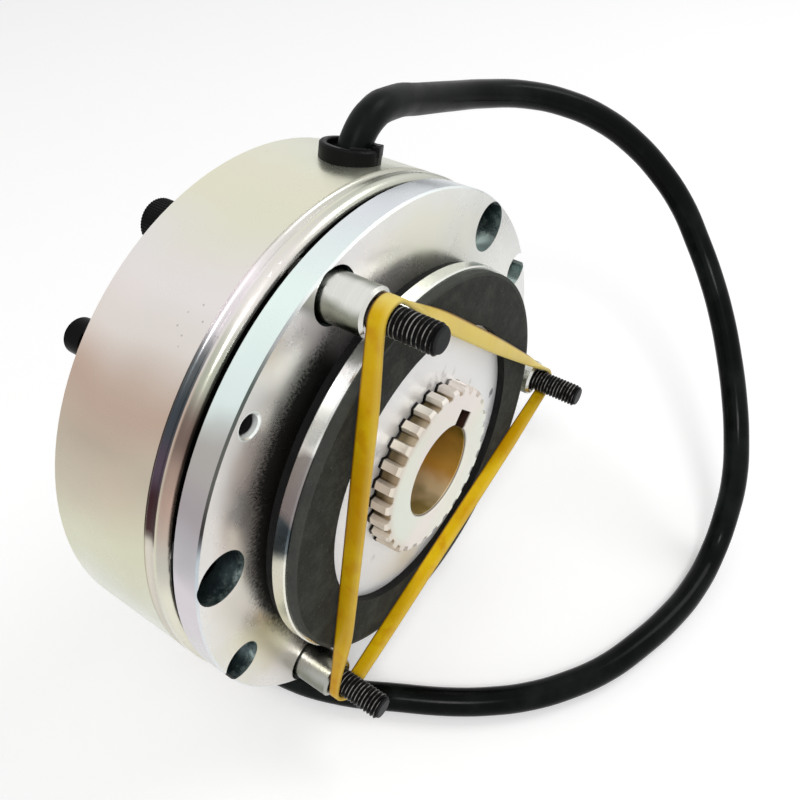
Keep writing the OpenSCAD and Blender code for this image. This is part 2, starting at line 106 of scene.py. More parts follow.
inner_turn_r = outer_turn_r - cable_d
cable_line = [Vector(point) / 1000 for point in cable_run]
for turned in range(0, 613, 10):
    radius = outer_turn_r + (inner_turn_r - outer_turn_r) * ease((turned - 250) / 100)
    angle = math.radians(127.5 - turned)
    cable_line.append(coil_middle + Vector((radius * math.cos(angle), radius * math.sin(angle), 0)))


# A smooth round cord through the points of a line
def round_cord(name, line, thickness):
    curve = bpy.data.curves.new(name, "CURVE")
    curve.dimensions = "3D"
    curve.bevel_depth = thickness / 2
    curve.bevel_resolution = 7
    curve.resolution_u = 5
    curve.use_fill_caps = True
    spline = curve.splines.new("BEZIER")
    spline.bezier_points.add(len(line) - 1)
    for knot, point in zip(spline.bezier_points, line):
        knot.co = point
        knot.handle_left_type = "AUTO"
        knot.handle_right_type = "AUTO"
    return add_object(name, curve)


cable = round_cord("supply_cable", cable_line, cable_d)


# A finish starts as one Principled shader with its plain values
def new_finish(name, metallic, roughness):
    made = bpy.data.materials.new(name)
    made.use_nodes = True
    look = made.node_tree.nodes["Principled BSDF"].inputs
    look["Metallic"].default_value = metallic
    look["Roughness"].default_value = roughness
    return made, made.node_tree, look


# Sets a socket to a value, or joins it to another node's socket. Colours come without alpha.
def feed(tree, socket, source):
    if isinstance(source, bpy.types.NodeSocket):
        tree.links.new(source, socket)
    elif isinstance(source, tuple):
        socket.default_value = (*source, 1)
    else:
        socket.default_value = source


# The place on the piece, in its own coordinates
def own_place(tree):
    return tree.nodes.new("ShaderNodeTexCoord").outputs["Object"]


# The three parts of a vector, or else of the place on the piece
def parts_of(tree, vector=None):
    node = tree.nodes.new("ShaderNodeSeparateXYZ")
    tree.links.new(own_place(tree) if vector is None else vector, node.inputs[0])
    return node.outputs


def noise(tree, scale, detail=4.0, roughness=0.55, place=None):
    node = tree.nodes.new("ShaderNodeTexNoise")
    tree.links.new(own_place(tree) if place is None else place, node.inputs["Vector"])
    node.inputs["Scale"].default_value = scale
    node.inputs["Detail"].default_value = detail
    node.inputs["Roughness"].default_value = roughness
    return node.outputs["Fac"]


# Moves a value from one span to another, with soft ends
def spread(tree, value, low, high, to_low=0.0, to_high=1.0):
    node = tree.nodes.new("ShaderNodeMapRange")
    node.interpolation_type = "SMOOTHSTEP"
    feed(tree, node.inputs["Value"], value)
    feed(tree, node.inputs["From Min"], low)
    feed(tree, node.inputs["From Max"], high)
    feed(tree, node.inputs["To Min"], to_low)
    feed(tree, node.inputs["To Max"], to_high)
    return node.outputs["Result"]


# A value that goes unevenly from one limit to another over the piece
def uneven(tree, scale, low, high):
    return spread(tree, noise(tree, scale), 0.3, 0.7, low, high)


# One step of arithmetic on values or sockets
def calc(tree, operation, first, second=0.0, third=0.0):
    node = tree.nodes.new("ShaderNodeMath")
    node.operation = operation
    for socket, source in zip(node.inputs, (first, second, third)):
        feed(tree, socket, source)
    return node.outputs["Value"]


def times(tree, first, second):
    return calc(tree, "MULTIPLY", first, second)


def between(tree, share, first, second, blend="MIX"):
    node = tree.nodes.new("ShaderNodeMix")
    node.data_type = "RGBA"
    node.blend_type = blend
    feed(tree, node.inputs[0], share)
    feed(tree, node.inputs[6], first)
    feed(tree, node.inputs[7], second)
    return node.outputs[2]


# A surface that a height lifts and sinks a little
def raised(tree, height, strength, distance):
    node = tree.nodes.new("ShaderNodeBump")
    node.inputs["Strength"].default_value = strength
    node.inputs["Distance"].default_value = distance
    feed(tree, node.inputs["Height"], height)
    return node.outputs["Normal"]


# Gives a mesh one finish all over
def coat(mesh, made):
    mesh.materials.clear()
    mesh.materials.append(made)


sheath, tree, look = new_finish("black_sheath", 0.0, 0.2)
look["IOR"].default_value = 1.15
where = parts_of(tree)
by_collar = times(tree, spread(tree, where["X"], 0.060, 0.095, 1.0, 0.0),
                  spread(tree, where["Z"], 0.140, 0.158))
smudge = spread(tree, noise(tree, 45.0), 0.42, 0.68)
feed(tree, look["Base Color"],
     between(tree, smudge, (0.0018, 0.0025, 0.0023), (0.0085, 0.0115, 0.0102)))
feed(tree, look["Roughness"],
     calc(tree, "MULTIPLY_ADD", by_collar, 0.2, uneven(tree, 160.0, 0.14, 0.22)))
feed(tree, look["Normal"], raised(tree, noise(tree, 2600.0, 2.0), 0.12, 0.0001))
coat(cable.data, sheath)
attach(cable, "magnet")
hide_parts("cable", "cable_coil")

# ----------------------------------------------------------
# Cores, crimped pins and tie
# At its far end the sheath is cut back and its brown and its blue core come out, each
# with a tin-plated pin crimped on its strands. A nylon tie holds the coil together.
# ----------------------------------------------------------
for node, name, low, high in (
    ("core_wire_1", "brown_core", (0.075, 0.030, 0.012), (0.110, 0.045, 0.020)),
    ("core_wire_2", "blue_core", (0.012, 0.060, 0.270), (0.025, 0.090, 0.340)),
):
    made, tree, look = new_finish(name, 0.0, 0.35)
    feed(tree, look["Base Color"], between(tree, noise(tree, 120.0), low, high))
    feed(tree, look["Roughness"], uneven(tree, 300.0, 0.28, 0.42))
    coat(solids[node].data, made)

tinned, tree, look = new_finish("tinned_pin", 1.0, 0.3)
feed(tree, look["Base Color"],
     between(tree, noise(tree, 400.0), (0.62, 0.62, 0.60), (0.80, 0.80, 0.79)))
feed(tree, look["Roughness"], uneven(tree, 900.0, 0.22, 0.42))
coat(solids["ferrule_1"].data, tinned)
coat(solids["ferrule_2"].data, tinned)


# A mesh with the shape that has been built up
def mesh_of(made, name):
    mesh = bpy.data.meshes.new(name)
    made.to_mesh(mesh)
    made.free()
    return mesh


def join_in(made, other):
    held = mesh_of(other, "held")
    made.from_mesh(held)
    bpy.data.meshes.remove(held)


# Joins a small block to a shape, its edges rounded, at the place that a matrix gives
def add_block(made, size, rounding, spot):
    block = bmesh.new()
    bmesh.ops.create_cube(block, size=1.0)
    bmesh.ops.scale(block, verts=block.verts, vec=size)
    if rounding:
        bmesh.ops.bevel(block, geom=block.edges[:], offset=rounding, affect="EDGES", segments=2,
                        profile=0.5, material=-1)
    bmesh.ops.transform(block, verts=block.verts, matrix=spot)
    join_in(made, block)


tie_width = 0.0048
tie_squareness = 0.45
coil_tie = bmesh.new()
bmesh.ops.create_circle(coil_tie, segments=56, radius=1.0)
for vertex in coil_tie.verts:
    round_x = math.copysign(abs(vertex.co.x) ** tie_squareness, vertex.co.x)
    round_y = math.copysign(abs(vertex.co.y) ** tie_squareness, vertex.co.y)
    vertex.co = (0.00965 * round_x, -tie_width / 2, 0.00490 * round_y)
drawn = bmesh.ops.extrude_edge_only(coil_tie, edges=coil_tie.edges[:])["geom"]
bmesh.ops.translate(coil_tie, verts=[part for part in drawn if isinstance(part, bmesh.types.BMVert)],
                    vec=(0, tie_width, 0))
bmesh.ops.recalc_face_normals(coil_tie, faces=coil_tie.faces)
bmesh.ops.solidify(coil_tie, geom=coil_tie.faces[:], thickness=-0.001)
for middle, size, lean in (
    ((0.0124, 0, 0.0012), (0.0052, 0.0074, 0.0056), 0.0),
    ((0.0147, 0, 0.0058), (0.0012, 0.0044, 0.0100), 20.0),
):
    leaning = Matrix.Rotation(math.radians(lean), 4, "Y")
    add_block(coil_tie, size, 0.0004, Matrix.Translation(middle) @ leaning)
tie_angle = math.radians(20.0)
coil_r = (outer_turn_r + inner_turn_r) / 2
tie_middle = coil_middle + coil_r * Vector((math.cos(tie_angle), math.sin(tie_angle), 0))
bmesh.ops.transform(coil_tie, verts=coil_tie.verts,
                    matrix=Matrix.Translation(tie_middle) @ Matrix.Rotation(tie_angle, 4, "Z"))
bmesh.ops.recalc_face_normals(coil_tie, faces=coil_tie.faces)
coil_tie = add_object("coil_tie", mesh_of(coil_tie, "coil_tie"))
black_nylon, tree, look = new_finish("black_nylon", 0.0, 0.4)
feed(tree, look["Base Color"],
     between(tree, noise(tree, 260.0), (0.006, 0.006, 0.006), (0.016, 0.016, 0.016)))
coat(coil_tie.data, black_nylon)
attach(coil_tie, "magnet")
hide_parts("cable_tie")

# ----------------------------------------------------------
# Floor, world and lamps
# A plain pale floor that keeps the brake's soft shadow, an even white surround, and two
# soft lamps above.
# ----------------------------------------------------------
shape = bmesh.new()
bmesh.ops.create_grid(shape, x_segments=1, y_segments=1, size=6.0)
floor = add_object("floor", mesh_of(shape, "floor"))


# 1 on what the camera sees, straight on or in metal and glass
def seen_share(tree):
    path = tree.nodes.new("ShaderNodeLightPath")
    seen = calc(tree, "MAXIMUM", path.outputs["Is Camera Ray"], path.outputs["Is Glossy Ray"])
    return calc(tree, "MAXIMUM", seen, path.outputs["Is Transmission Ray"])


paper, tree, look = new_finish("pale_floor", 0.0, 0.9)
look["Base Color"].default_value = (0.88, 0.88, 0.88, 1)
look["Specular IOR Level"].default_value = 0.0
look["Emission Color"].default_value = (1, 1, 1, 1)
feed(tree, look["Emission Strength"], times(tree, seen_share(tree), 0.29))
coat(floor.data, paper)

world = bpy.data.worlds.new("surround")
world.use_nodes = True
scene.world = world
tree = world.node_tree
tree.nodes.clear()
dim = tree.nodes.new("ShaderNodeBackground")
dim.inputs["Strength"].default_value = 0.62
white = tree.nodes.new("ShaderNodeBackground")
white.inputs["Color"].default_value = (1, 1, 1, 1)
white.inputs["Strength"].default_value = 1.0
chosen = tree.nodes.new("ShaderNodeMixShader")
feed(tree, chosen.inputs[0], seen_share(tree))
tree.links.new(dim.outputs[0], chosen.inputs[1])
tree.links.new(white.outputs[0], chosen.inputs[2])
tree.links.new(chosen.outputs[0], tree.nodes.new("ShaderNodeOutputWorld").inputs["Surface"])

lamp_aim = Vector((0, 0, 0.08))
for name, spot, size, watts in (
    ("lamp_left", (-0.7, -0.5, 1.3), 0.4, 6.5),
    ("lamp_right", (0.9, -0.5, 1.2), 0.7, 5.0),
):
    light = bpy.data.lights.new(name, "AREA")
    light.shape = "DISK"
    light.size = size
    light.energy = watts
    lamp = add_object(name, light)
    lamp.location = spot
    lamp.rotation_euler = (lamp_aim - Vector(spot)).to_track_quat("-Z", "Y").to_euler()

# ----------------------------------------------------------
# Magnet housing
# A turned steel pot with a groove and a rounded bead at its front rim, zinc plated and
# passivated, which leaves a faint bloom of yellow, green and pink.
# ----------------------------------------------------------
axis_up = 0.083
rear_face = 0.0375


# A node group for an effect that more than one finish may take up
def new_effect(name, inputs, outputs):
    group = bpy.data.node_groups.new(name, "ShaderNodeTree")
    for label, kind, value in inputs:
        socket = group.interface.new_socket(label, in_out="INPUT", socket_type=kind)
        socket.default_value = value
    for label, kind in outputs:
        group.interface.new_socket(label, in_out="OUTPUT", socket_type=kind)
    return group, group.nodes.new("NodeGroupInput").outputs, group.nodes.new("NodeGroupOutput").inputs


def placed(tree, group, **values):
    node = tree.nodes.new("ShaderNodeGroup")
    node.node_tree = group
    for label, value in values.items():
        feed(tree, node.inputs[label], value)
    return node.outputs


# Distance from a line along the shaft axis that passes X and Z
def away_from(tree, where, x, z):
    aside = calc(tree, "SUBTRACT", where["X"], x)
    above = calc(tree, "SUBTRACT", where["Z"], z)
    return calc(tree, "SQRT", calc(tree, "MULTIPLY_ADD", aside, aside, times(tree, above, above)))


# Marks left by turning a piece about the shaft axis, as rings on its faces and its sides, with
# the place on the piece as radius, station and angle, and 1 on walls that run along the axis
turning, given, result = new_effect(
    "turning_marks",
    [("Fineness", "NodeSocketFloat", 2500.0)],
    [("Height", "NodeSocketFloat"), ("Radius", "NodeSocketFloat"), ("Station", "NodeSocketFloat"),
     ("Angle", "NodeSocketFloat"), ("Sideways", "NodeSocketFloat")],
)
parts = parts_of(turning)
away = away_from(turning, parts, 0.0, axis_up)
rings = turning.nodes.new("ShaderNodeCombineXYZ")
turning.links.new(times(turning, away, given["Fineness"]), rings.inputs["X"])
turning.links.new(times(turning, parts["Y"], given["Fineness"]), rings.inputs["Y"])
turning.links.new(noise(turning, 1.0, 3.0, place=rings.outputs[0]), result["Height"])
turning.links.new(times(turning, away, 1000.0), result["Radius"])
turning.links.new(calc(turning, "MULTIPLY_ADD", parts["Y"], -1000.0, rear_face * 1000), result["Station"])
up = calc(turning, "SUBTRACT", parts["Z"], axis_up)
angle = calc(turning, "DEGREES", calc(turning, "ARCTAN2", up, parts["X"]))
turning.links.new(calc(turning, "WRAP", angle, 360.0, 0.0), result["Angle"])
faced = parts_of(turning, turning.nodes.new("ShaderNodeTexCoord").outputs["Normal"])
turning.links.new(spread(turning, calc(turning, "ABSOLUTE", faced["Y"]), 0.2, 0.4, 1.0, 0.0),
                  result["Sideways"])

# Soft patches of colour in the passivation
bloom, given, result = new_effect(
    "passivation_bloom",
    [("Base", "NodeSocketColor", (0.8, 0.8, 0.8, 1)), ("Warm", "NodeSocketColor", (0.8, 0.7, 0.6, 1)),
     ("Cool", "NodeSocketColor", (0.7, 0.8, 0.8, 1)), ("Size", "NodeSocketFloat", 12.0)],
    [("Color", "NodeSocketColor")],
)
place = own_place(bloom)
drift = bloom.nodes.new("ShaderNodeMapping")
drift.inputs["Location"].default_value = (0.37, 0.21, 0.58)
bloom.links.new(place, drift.inputs["Vector"])
warm_noise = bloom.nodes.new("ShaderNodeTexNoise")
cool_noise = bloom.nodes.new("ShaderNodeTexNoise")
for node, source in ((warm_noise, place), (cool_noise, drift.outputs[0])):
    bloom.links.new(source, node.inputs["Vector"])
    bloom.links.new(given["Size"], node.inputs["Scale"])
    node.inputs["Detail"].default_value = 1.5
warmed = between(bloom, spread(bloom, warm_noise.outputs["Fac"], 0.42, 0.66), given["Base"], given["Warm"])
bloom.links.new(
    between(bloom, spread(bloom, cool_noise.outputs["Fac"], 0.42, 0.66), warmed, given["Cool"]),
    result["Color"],
)

# Small pits and nicks from handling
nicks, given, result = new_effect(
    "handling_nicks",
    [("Scale", "NodeSocketFloat", 260.0), ("Amount", "NodeSocketFloat", 0.12)],
    [("Mask", "NodeSocketFloat")],
)
cells = nicks.nodes.new("ShaderNodeTexVoronoi")
nicks.links.new(own_place(nicks), cells.inputs["Vector"])
nicks.links.new(given["Scale"], cells.inputs["Scale"])
pit = spread(nicks, cells.outputs["Distance"], 0.0, given["Amount"], 1.0, 0.0)
patches = spread(nicks, noise(nicks, 28.0, 3.0), 0.56, 0.66)
nicks.links.new(times(nicks, pit, patches), result["Mask"])


# Soft bands of colour round a piece, each given as its angle and colour
def ring_of(tree, angle, stops):
    node = tree.nodes.new("ShaderNodeValToRGB")
    node.color_ramp.interpolation = "EASE"
    feed(tree, node.inputs["Fac"], calc(tree, "DIVIDE", angle, 360.0))
    tones = node.color_ramp.elements
    while len(tones) < len(stops):
        tones.new(0.5)
    for tone, (place_on_ring, colour) in zip(tones, stops):
        tone.position = place_on_ring / 360
        tone.color = (*colour, 1)
    return node.outputs["Color"]


# 1 between two values, with soft ends
def inside(tree, value, low, high, soft):
    rises = spread(tree, value, low - soft, low)
    falls = spread(tree, value, high, high + soft, 1.0, 0.0)
    return times(tree, rises, falls)


# Moves a value to and fro by up to half of the reach, so that a band's edge isn't ruled
def waver(tree, value, scale, reach):
    shift = spread(tree, noise(tree, scale, 2.0), 0.3, 0.7, -reach / 2, reach / 2)
    return calc(tree, "ADD", value, shift)


body_zinc, tree, look = new_finish("passivated_housing", 0.9, 0.3)
marks = placed(tree, turning, Fineness=1800.0)
# Bands of colour by angle round the housing: partly passivation bloom, partly painted reflection, such as
# the brown band at the left
bloom_and_reflection_bands = ring_of(tree, waver(tree, marks["Angle"], 12.0, 12.0), (
    (0, (0.76, 0.75, 0.70)), (60, (0.70, 0.70, 0.60)), (96, (0.72, 0.72, 0.575)),
    (118, (0.76, 0.72, 0.71)), (131, (0.72, 0.67, 0.63)), (142, (0.50, 0.38, 0.305)),
    (154, (0.56, 0.49, 0.39)), (170, (0.66, 0.66, 0.50)), (184, (0.72, 0.74, 0.65)),
    (204, (0.82, 0.81, 0.76)), (230, (0.74, 0.68, 0.63)), (300, (0.72, 0.71, 0.66)),
))
tint = between(tree, 0.5, bloom_and_reflection_bands, placed(
    tree, bloom, Base=(0.5, 0.5, 0.5), Warm=(0.56, 0.50, 0.485),
    Cool=(0.47, 0.51, 0.50), Size=20.0)["Color"], "OVERLAY")
# Painted reflections: the groove and the bead get bands of their own, standing for the surround they
# mirror
groove_reflection = ring_of(tree, waver(tree, marks["Angle"], 30.0, 6.0), (
    (0, (0.45, 0.45, 0.43)), (80, (0.50, 0.50, 0.43)), (104, (0.70, 0.68, 0.64)),
    (114, (0.86, 0.80, 0.82)), (124, (0.70, 0.66, 0.68)), (131, (0.10, 0.11, 0.115)),
    (139, (0.045, 0.055, 0.065)), (148, (0.085, 0.06, 0.085)), (154, (0.045, 0.018, 0.022)),
    (158, (0.06, 0.03, 0.03)), (161, (0.66, 0.62, 0.54)), (240, (0.50, 0.48, 0.42)),
))
bead_reflection = ring_of(tree, waver(tree, marks["Angle"], 30.0, 6.0), (
    (0, (0.60, 0.60, 0.55)), (86, (0.55, 0.56, 0.48)), (116, (0.80, 0.76, 0.72)),
    (131, (0.42, 0.43, 0.35)), (141, (0.17, 0.12, 0.10)), (152, (0.46, 0.33, 0.27)),
    (163, (0.52, 0.50, 0.44)), (172, (0.74, 0.72, 0.60)), (240, (0.60, 0.58, 0.50)),
))
tint = between(tree, inside(tree, marks["Station"], 35.0, 38.2, 0.4), tint, groove_reflection)
tint = between(tree, spread(tree, marks["Station"], 38.6, 39.4), tint, bead_reflection)
# Painted shade where the plate covers the front face
covered_face_shade = times(tree, spread(tree, marks["Station"], 41.6, 41.75),
                  spread(tree, marks["Radius"], 80.9, 81.1, 1.0, 0.0))
tint = between(tree, covered_face_shade, tint, (0.035, 0.036, 0.032))
worn = placed(tree, nicks, Scale=320.0, Amount=0.14)["Mask"]
feed(tree, look["Base Color"], between(tree, worn, tint, (0.36, 0.34, 0.30)))
feed(tree, look["Roughness"], uneven(tree, 60.0, 0.24, 0.36))
feed(tree, look["Normal"], raised(tree, marks["Height"], 0.10, 0.00004))
coat(solids["housing"].data, body_zinc)

# ----------------------------------------------------------
# Coil, bobbin and resin
# Enamelled copper wire wound on a natural nylon bobbin, closed at the front with resin.
# ----------------------------------------------------------
nylon, tree, look = new_finish("natural_nylon", 0.0, 0.5)
feed(tree, look["Base Color"],
     between(tree, noise(tree, 70.0), (0.62, 0.58, 0.46), (0.72, 0.68, 0.56)))
coat(solids["coil_bobbin"].data, nylon)

copper, tree, look = new_finish("enamelled_copper", 0.9, 0.28)
marks = placed(tree, turning, Fineness=1400.0)
feed(tree, look["Base Color"],
     between(tree, marks["Height"], (0.30, 0.08, 0.03), (0.62, 0.26, 0.10)))
feed(tree, look["Normal"], raised(tree, marks["Height"], 0.7, 0.0004))
coat(solids["coil_winding"].data, copper)

resin, tree, look = new_finish("poured_resin", 0.0, 0.25)
feed(tree, look["Base Color"],
     between(tree, noise(tree, 90.0), (0.012, 0.014, 0.014), (0.026, 0.029, 0.028)))
feed(tree, look["Normal"], raised(tree, noise(tree, 60.0, 2.0), 0.2, 0.0006))
coat(solids["coil_potting"].data, resin)

# ----------------------------------------------------------
# Torque springs
# Six wire springs in pockets of the inner pole press the armature plate on the rotor.
# ----------------------------------------------------------
wire_steel, tree, look = new_finish("spring_wire", 1.0, 0.3)
feed(tree, look["Base Color"],
     between(tree, noise(tree, 250.0), (0.36, 0.36, 0.37), (0.56, 0.56, 0.57)))
feed(tree, look["Roughness"], uneven(tree, 700.0, 0.24, 0.4))


# The mesh that an object's curve or modifiers give, in place of the object
def worked_out(made):
    mesh = bpy.data.meshes.new_from_object(made.evaluated_get(bpy.context.evaluated_depsgraph_get()))
    bpy.data.objects.remove(made)
    return mesh


spring_wire_d = 0.0013
spring_mean_r = 0.00315
spring_turns = 6
steps_a_turn = 12
for number in range(1, 7):
    node = "torque_spring_%d" % number
    low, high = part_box(node)
    across, up = (low[0] + high[0]) / 2, (low[2] + high[2]) / 2
    length = high[1] - low[1]
    wire_line = []
    for step in range(steps_a_turn * spring_turns + 1):
        share = step / (steps_a_turn * spring_turns)
        back = high[1] - spring_wire_d / 2 - (length - spring_wire_d) * ease(share)
        angle = 2 * math.pi * step / steps_a_turn
        wire_line.append(Vector((across + spring_mean_r * math.cos(angle), back,
                                 up + spring_mean_r * math.sin(angle))))
    coiled = worked_out(round_cord("wire", wire_line, spring_wire_d))
    coat(coiled, wire_steel)
    spring = add_object("coil_spring_%d" % number, coiled)
    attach(spring, "magnet")
    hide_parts(node)
    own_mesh(spring)

# ----------------------------------------------------------
# Armature plate
# A turned steel disc, zinc plated blue-white on its rim and cream to pink on its face,
# with clearance holes round the sleeves, plain holes between them and two at its rim.
# ----------------------------------------------------------

# Millimetres from the shaft axis to the right and up, along a line that rises 40 degrees
def up_right(tree, where):
    risen = times(tree, calc(tree, "SUBTRACT", where["Z"], axis_up), 649.0)
    return calc(tree, "MULTIPLY_ADD", where["X"], 761.0, risen)


plate_zinc, tree, look = new_finish("plated_armature", 0.8, 0.3)
marks = placed(tree, turning, Fineness=1500.0)
face_tone = ring_of(tree, waver(tree, marks["Angle"], 24.0, 26.0), (
    (0, (0.78, 0.80, 0.77)), (40, (0.82, 0.82, 0.78)), (80, (0.80, 0.79, 0.68)),
    (112, (0.84, 0.80, 0.80)), (135, (0.70, 0.70, 0.66)), (158, (0.78, 0.70, 0.64)),
    (180, (0.85, 0.81, 0.76)), (203, (0.70, 0.67, 0.49)), (222, (0.76, 0.71, 0.66)),
    (260, (0.74, 0.72, 0.66)), (320, (0.80, 0.78, 0.70)),
))
outer = spread(tree, waver(tree, marks["Radius"], 60.0, 4.0), 74.0, 81.0, 0.0, 0.6)
face_tone = between(tree, outer, face_tone, (0.80, 0.80, 0.79))
# The rim: blue-white, with a painted dark reflection at the left
rim_tone_and_reflection = ring_of(tree, waver(tree, marks["Angle"], 40.0, 5.0), (
    (0, (0.68, 0.72, 0.72)), (88, (0.72, 0.75, 0.78)), (116, (0.80, 0.92, 0.88)),
    (131, (0.72, 0.82, 0.80)), (140, (0.42, 0.40, 0.38)), (151, (0.40, 0.36, 0.38)),
    (159, (0.46, 0.45, 0.47)), (167, (0.70, 0.65, 0.69)), (200, (0.70, 0.70, 0.70)),
))
# The chamfer between them: a painted highlight at the top and a painted dark reflection at the left
edge_reflection = ring_of(tree, waver(tree, marks["Angle"], 40.0, 4.0), (
    (0, (0.76, 0.80, 0.80)), (112, (0.86, 0.92, 0.90)), (121, (0.42, 0.43, 0.43)),
    (129, (0.09, 0.11, 0.10)), (143, (0.11, 0.11, 0.10)), (153, (0.04, 0.035, 0.035)),
    (160, (0.50, 0.56, 0.60)), (172, (0.72, 0.74, 0.76)), (200, (0.76, 0.78, 0.78)),
))
on_edge = times(tree, spread(tree, marks["Radius"], 81.9, 82.05),
                inside(tree, marks["Station"], 51.9, 53.0, 0.1))
rim = spread(tree, marks["Radius"], 82.0, 82.4)
tint = between(tree, on_edge, between(tree, rim, face_tone, rim_tone_and_reflection), edge_reflection)
# Walls of the holes: teal slate darkened by painted shade, with painted light, paler at the mouth and low
# down, and pale in the tapped hole
hole_wall = times(tree, marks["Sideways"], inside(tree, marks["Radius"], 40.0, 81.8, 0.3))
slate_light_and_shade = between(tree, noise(tree, 420.0, 3.0), (0.008, 0.016, 0.018), (0.14, 0.20, 0.21))
where = parts_of(tree)
mottled = spread(tree, noise(tree, 380.0, 5.0, 0.7), 0.3, 0.7, -3.2, 3.2)
along = calc(tree, "ADD", up_right(tree, where), mottled)
lit_mouth = spread(tree, calc(tree, "ADD", marks["Station"], mottled), 49.0, 55.5, 0.0, 0.85)
lit_low_side = calc(tree, "MAXIMUM", inside(tree, along, 58.0, 72.5, 5.5), lit_mouth)
slate_light_and_shade = between(tree, lit_low_side, slate_light_and_shade, (0.50, 0.62, 0.59))
tapped = inside(tree, marks["Angle"], 130.0, 140.0, 1.0)
slate_light_and_shade = between(tree, tapped, slate_light_and_shade, (0.80, 0.82, 0.80))
tint = between(tree, hole_wall, tint, slate_light_and_shade)
# A pale countersink round the end of the retaining screw
low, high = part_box("retaining_screw_a")
from_screw = away_from(tree, where, (low[0] + high[0]) / 2, (low[2] + high[2]) / 2)
sunk = times(tree, inside(tree, from_screw, 0.0030, 0.0038, 0.0001),
             spread(tree, marks["Sideways"], 0.2, 0.8, 1.0, 0.0))
tint = between(tree, sunk, tint, (0.90, 0.93, 0.90))
tapped_wall = times(tree, hole_wall, tapped)
feed(tree, look["Metallic"], calc(tree, "MULTIPLY_ADD", tapped_wall, -0.75, 0.8))
# Painted shade and reflection of the rotor: dark and ragged on the face beside it
bristles = tree.nodes.new("ShaderNodeCombineXYZ")
feed(tree, bristles.inputs["X"], marks["Angle"])
feed(tree, bristles.inputs["Y"], times(tree, marks["Radius"], 0.35))
ragged = spread(tree, noise(tree, 2.2, 4.0, 0.7, bristles.outputs[0]), 0.3, 0.7, -2.2, 2.2)
ragged = calc(tree, "MULTIPLY_ADD", inside(tree, marks["Angle"], 156.0, 210.0, 8.0), 3.0, ragged)
ragged = calc(tree, "MULTIPLY_ADD", inside(tree, marks["Angle"], 225.0, 244.0, 7.0), -3.5, ragged)
shade = spread(tree, calc(tree, "ADD", marks["Radius"], ragged), 64.0, 69.5, 0.9, 0.0)
shade = times(tree, shade, inside(tree, marks["Angle"], 118.0, 242.0, 12.0))
tint = between(tree, shade, tint, (0.012, 0.012, 0.009))
# Painted shade on the plate's rear face, which faces the housing
hidden_face_shade = spread(tree, marks["Station"], 44.02, 44.08, 1.0, 0.0)
tint = between(tree, hidden_face_shade, tint, (0.035, 0.036, 0.032))
feed(tree, look["Base Color"], tint)
feed(tree, look["Roughness"], uneven(tree, 75.0, 0.24, 0.36))
feed(tree, look["Normal"], raised(tree, marks["Height"], 0.14, 0.00004))
coat(solids["armature_plate"].data, plate_zinc)

# ----------------------------------------------------------
# Retaining screws
# Two black socket head screws hold the plate to the housing until the brake is fitted.
# ----------------------------------------------------------
black_oxide, tree, look = new_finish("black_oxide", 0.0, 0.3)
look["IOR"].default_value = 1.10
parts = parts_of(tree)
screw_circle_r = 0.0745
screw_angles = {"a": 107.0, "b": -13.0, "c": 227.0}
screw_spots = {letter: (screw_circle_r * math.cos(math.radians(angle)),
                        screw_circle_r * math.sin(math.radians(angle)))
               for letter, angle in screw_angles.items()}
# Painted highlights: the thread's crests are lighter in places
nearest = 1.0
for across, up in screw_spots.values():
    nearest = calc(tree, "MINIMUM", away_from(tree, parts, across, axis_up + up), nearest)
crest_highlight = inside(tree, nearest, 0.00391, 0.0042, 0.00006)
crest_highlight = times(tree, crest_highlight, spread(tree, parts["Y"], -0.0262, -0.0259, 1.0, 0.0))
crest_highlight = times(tree, crest_highlight, spread(tree, noise(tree, 420.0), 0.40, 0.62, 0.12, 1.0))
dull = between(tree, noise(tree, 220.0), (0.002, 0.002, 0.002), (0.009, 0.008, 0.008))
tip = inside(tree, parts["Y"], -0.0459, -0.0451, 0.0002)
dull = between(tree, tip, dull, (0.026, 0.027, 0.028))
feed(tree, look["Base Color"], between(tree, crest_highlight, dull, (0.30, 0.29, 0.275)))
feed(tree, look["Roughness"], uneven(tree, 420.0, 0.2, 0.34))
coat(solids["retaining_screw_a"].data, black_oxide)
coat(solids["retaining_screw_b"].data, black_oxide)

# ----------------------------------------------------------
# Spacer sleeves
# Three turned steel sleeves, screwed into the housing, set the brake's distance from the
# motor. They have a satin finish and a chamfered front end.
# ----------------------------------------------------------
sleeve_steel, tree, look = new_finish("satin_sleeve", 1.0, 0.28)
stretch = tree.nodes.new("ShaderNodeMapping")
stretch.inputs["Scale"].default_value = (1.0, 60.0, 1.0)
tree.links.new(own_place(tree), stretch.inputs["Vector"])
turned_rings = noise(tree, 60.0, 3.0, place=stretch.outputs[0])
facing = parts_of(tree, tree.nodes.new("ShaderNodeTexCoord").outputs["Normal"])
# Painted reflection: darker at the lower left, as of the plate's dark side, and a little darker at the
# upper right
lowered = calc(tree, "MULTIPLY_ADD", facing["Z"], -0.66, times(tree, facing["X"], -0.75))
lowered = waver(tree, lowered, 90.0, 0.2)
bright_steel = between(tree, turned_rings, (0.62, 0.63, 0.58), (0.80, 0.80, 0.76))
tint = between(tree, spread(tree, lowered, 0.10, 0.62), bright_steel, (0.30, 0.31, 0.25))
tint = between(tree, spread(tree, lowered, 0.60, 0.95), tint, (0.10, 0.105, 0.075))
tint = between(tree, spread(tree, lowered, -0.55, -0.95), tint, (0.22, 0.24, 0.20))
flat_end = spread(tree, calc(tree, "ABSOLUTE", facing["Y"]), 0.4, 0.7)
tint = between(tree, flat_end, tint, (0.66, 0.66, 0.62))
where = parts_of(tree)
# Painted shade on the lowest sleeve
shaded = spread(tree, where["Z"], 0.040, 0.045, 0.55, 0.0)
tint = between(tree, shaded, tint, (0.15, 0.155, 0.13))
